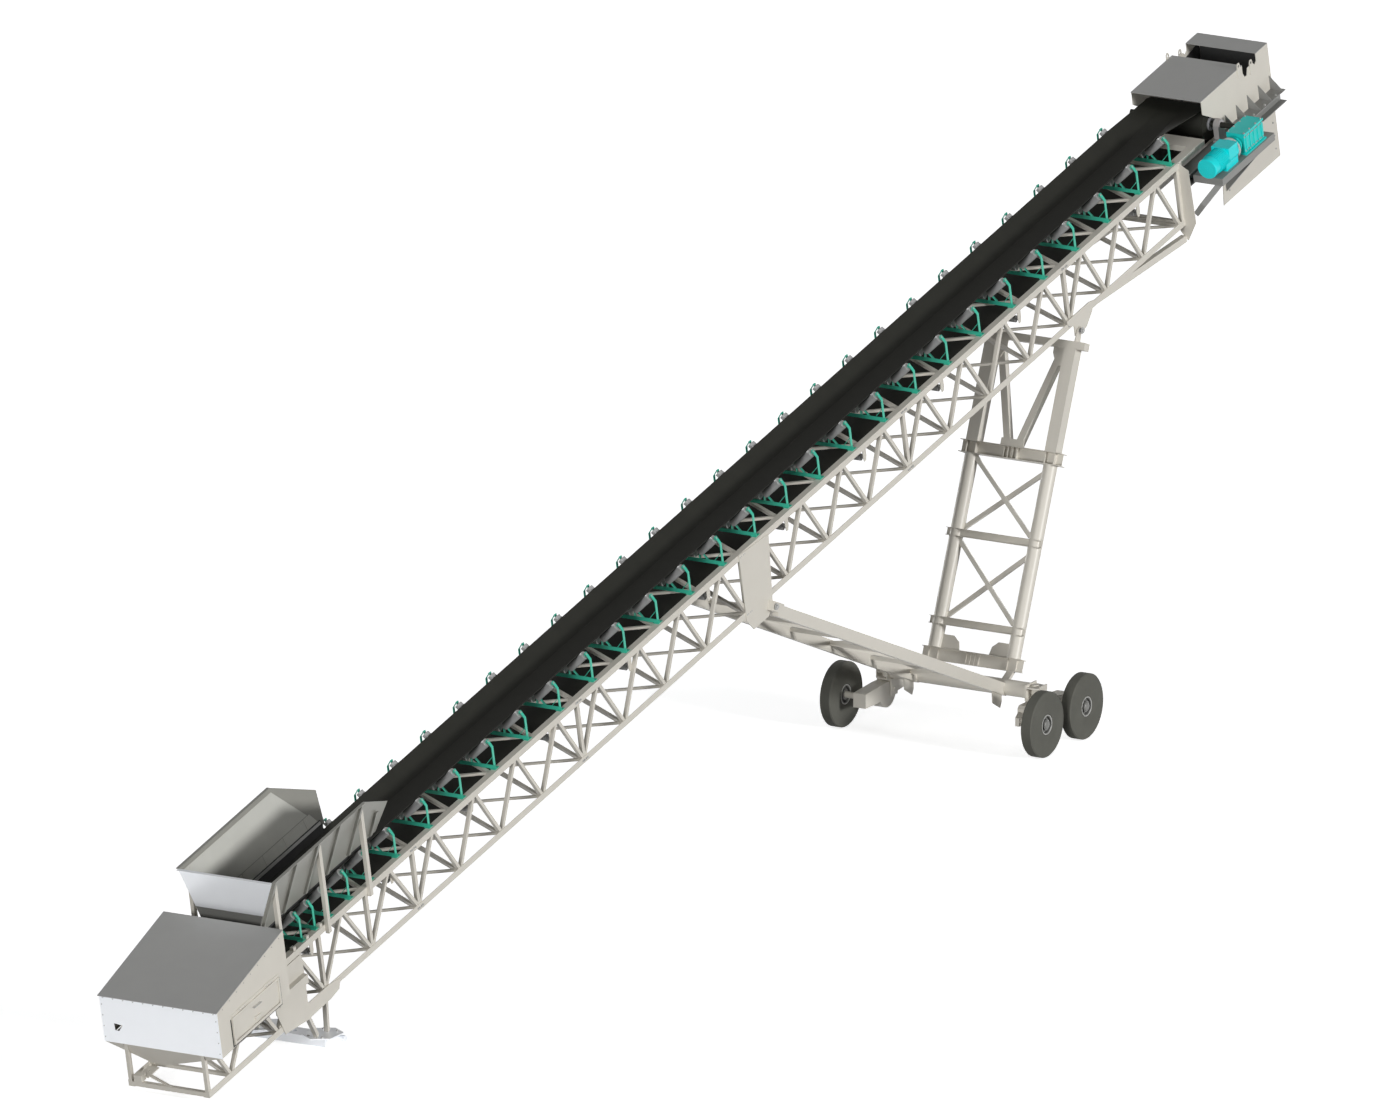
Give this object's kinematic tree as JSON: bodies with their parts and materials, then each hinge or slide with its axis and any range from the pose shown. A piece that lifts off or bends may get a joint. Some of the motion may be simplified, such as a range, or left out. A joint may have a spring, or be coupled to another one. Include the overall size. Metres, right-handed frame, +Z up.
{
  "type": "radial stacker conveyor",
  "caption": "Wheeled radial stacker conveyor: a lattice truss with a troughed belt, feed hopper, tail box, head box with its drive, braced mast and swinging wheel bogies.",
  "frame": {"origin": "on the ground under the middle of the tail pivot base, at its anchor bore", "axes": "+X along the conveyor from the tail to the head, +Y to the far side, +Z up"},
  "size_m": [32.8039, 3.7, 9.0358],
  "materials": {
    "frame_paint": "satin, warm light grey paint",
    "pale_sheet": "satin, near white paint",
    "roof_paint": "satin, mid grey paint",
    "belt_rubber": "matt black rubber",
    "idler_paint": "satin, sea green paint",
    "roll_steel": "satin, dull grey paint",
    "dark_steel": "painted cast housing, dark grey",
    "tyre_rubber": "matt, dark olive grey rubber",
    "hub_paint": "satin, dark grey paint",
    "motor_paint": "gloss, cyan paint",
    "gearbox_paint": "gloss, teal paint"
  },
  "bodies": {
    "machine": {"axle_brackets": "frame_paint", "axle_tube": "frame_paint", "belt": "belt_rubber", "boot_plates": "frame_paint", "bottom_lacing": "frame_paint", "drive_deck": "frame_paint", "end_beams": "frame_paint", "frame_pins": "dark_steel", "gearbox": "gearbox_paint", "head_end_plates": "frame_paint", "head_front": "frame_paint", "head_hood": "roof_paint", "head_pulley": "belt_rubber", "head_side_far": "frame_paint", "head_side_near": "frame_paint", "hopper_front": "pale_sheet", "hopper_posts": "frame_paint", "hopper_side_far": "frame_paint", "hopper_side_near": "frame_paint", "idler_bases": "idler_paint", "idler_rolls": "roll_steel", "idler_uprights": "idler_paint", "lifting_lugs": "frame_paint", "mast_beams": "frame_paint", "mast_legs": "frame_paint", "mast_v_braces": "frame_paint", "mast_x_braces": "frame_paint", "mid_plates": "frame_paint", "motor": "motor_paint", "pivot_base": "pale_sheet", "pivot_legs": "frame_paint", "pulley_bearings": "dark_steel", "return_hangers": "frame_paint", "return_rolls": "roll_steel", "side_shelves": "frame_paint", "spill_chute": "frame_paint", "struts": "frame_paint", "tail_front": "pale_sheet", "tail_pulley": "belt_rubber", "tail_roof": "roof_paint", "tail_side_far": "frame_paint", "tail_side_near": "frame_paint", "top_lacing": "frame_paint", "tow_bracket": "frame_paint", "truss_lugs": "frame_paint", "truss_side_far": "frame_paint", "truss_side_near": "frame_paint"},
    "near_bogie": {"near_saddle": "frame_paint", "near_walking_beam": "frame_paint"},
    "far_bogie": {"far_saddle": "frame_paint", "far_walking_beam": "frame_paint"},
    "near_front_wheel": {"near_front_tyre": "tyre_rubber", "near_front_hub": "hub_paint"},
    "near_rear_wheel": {"near_rear_tyre": "tyre_rubber", "near_rear_hub": "hub_paint"},
    "far_front_wheel": {"far_front_tyre": "tyre_rubber", "far_front_hub": "hub_paint"},
    "near_tail_door": {"tail_door_near": "frame_paint"},
    "far_tail_door": {"tail_door_far": "frame_paint"}
  },
  "joints": [
    {"name": "near_bogie_swing", "type": "hinge", "parent": "machine", "child": "near_bogie", "pos_m": [20.025, -1.3, 0.69], "axis": [0, 0, 1], "range_deg": [0, 90]},
    {"name": "far_bogie_swing", "type": "hinge", "parent": "machine", "child": "far_bogie", "pos_m": [20.025, 1.3, 0.69], "axis": [0, 0, -1], "range_deg": [0, 90]},
    {"name": "near_front_wheel_turn", "type": "hinge", "parent": "near_bogie", "child": "near_front_wheel", "pos_m": [19.415, -1.7585, 0.51], "axis": [0, 1, 0], "continuous": true},
    {"name": "near_rear_wheel_turn", "type": "hinge", "parent": "near_bogie", "child": "near_rear_wheel", "pos_m": [20.635, -1.7585, 0.51], "axis": [0, 1, 0], "continuous": true},
    {"name": "far_front_wheel_turn", "type": "hinge", "parent": "far_bogie", "child": "far_front_wheel", "pos_m": [19.415, 1.7585, 0.51], "axis": [0, 1, 0], "continuous": true},
    {"name": "near_tail_door_hinge", "type": "hinge", "parent": "machine", "child": "near_tail_door", "pos_m": [-2.90406, -1.0198, 1.53848], "axis": [-0.9749, 0, -0.2226], "range_deg": [0, 90]},
    {"name": "far_tail_door_hinge", "type": "hinge", "parent": "machine", "child": "far_tail_door", "pos_m": [-2.90406, 1.0198, 1.53848], "axis": [0.9749, 0, 0.2226], "range_deg": [0, 90]}
  ]
}
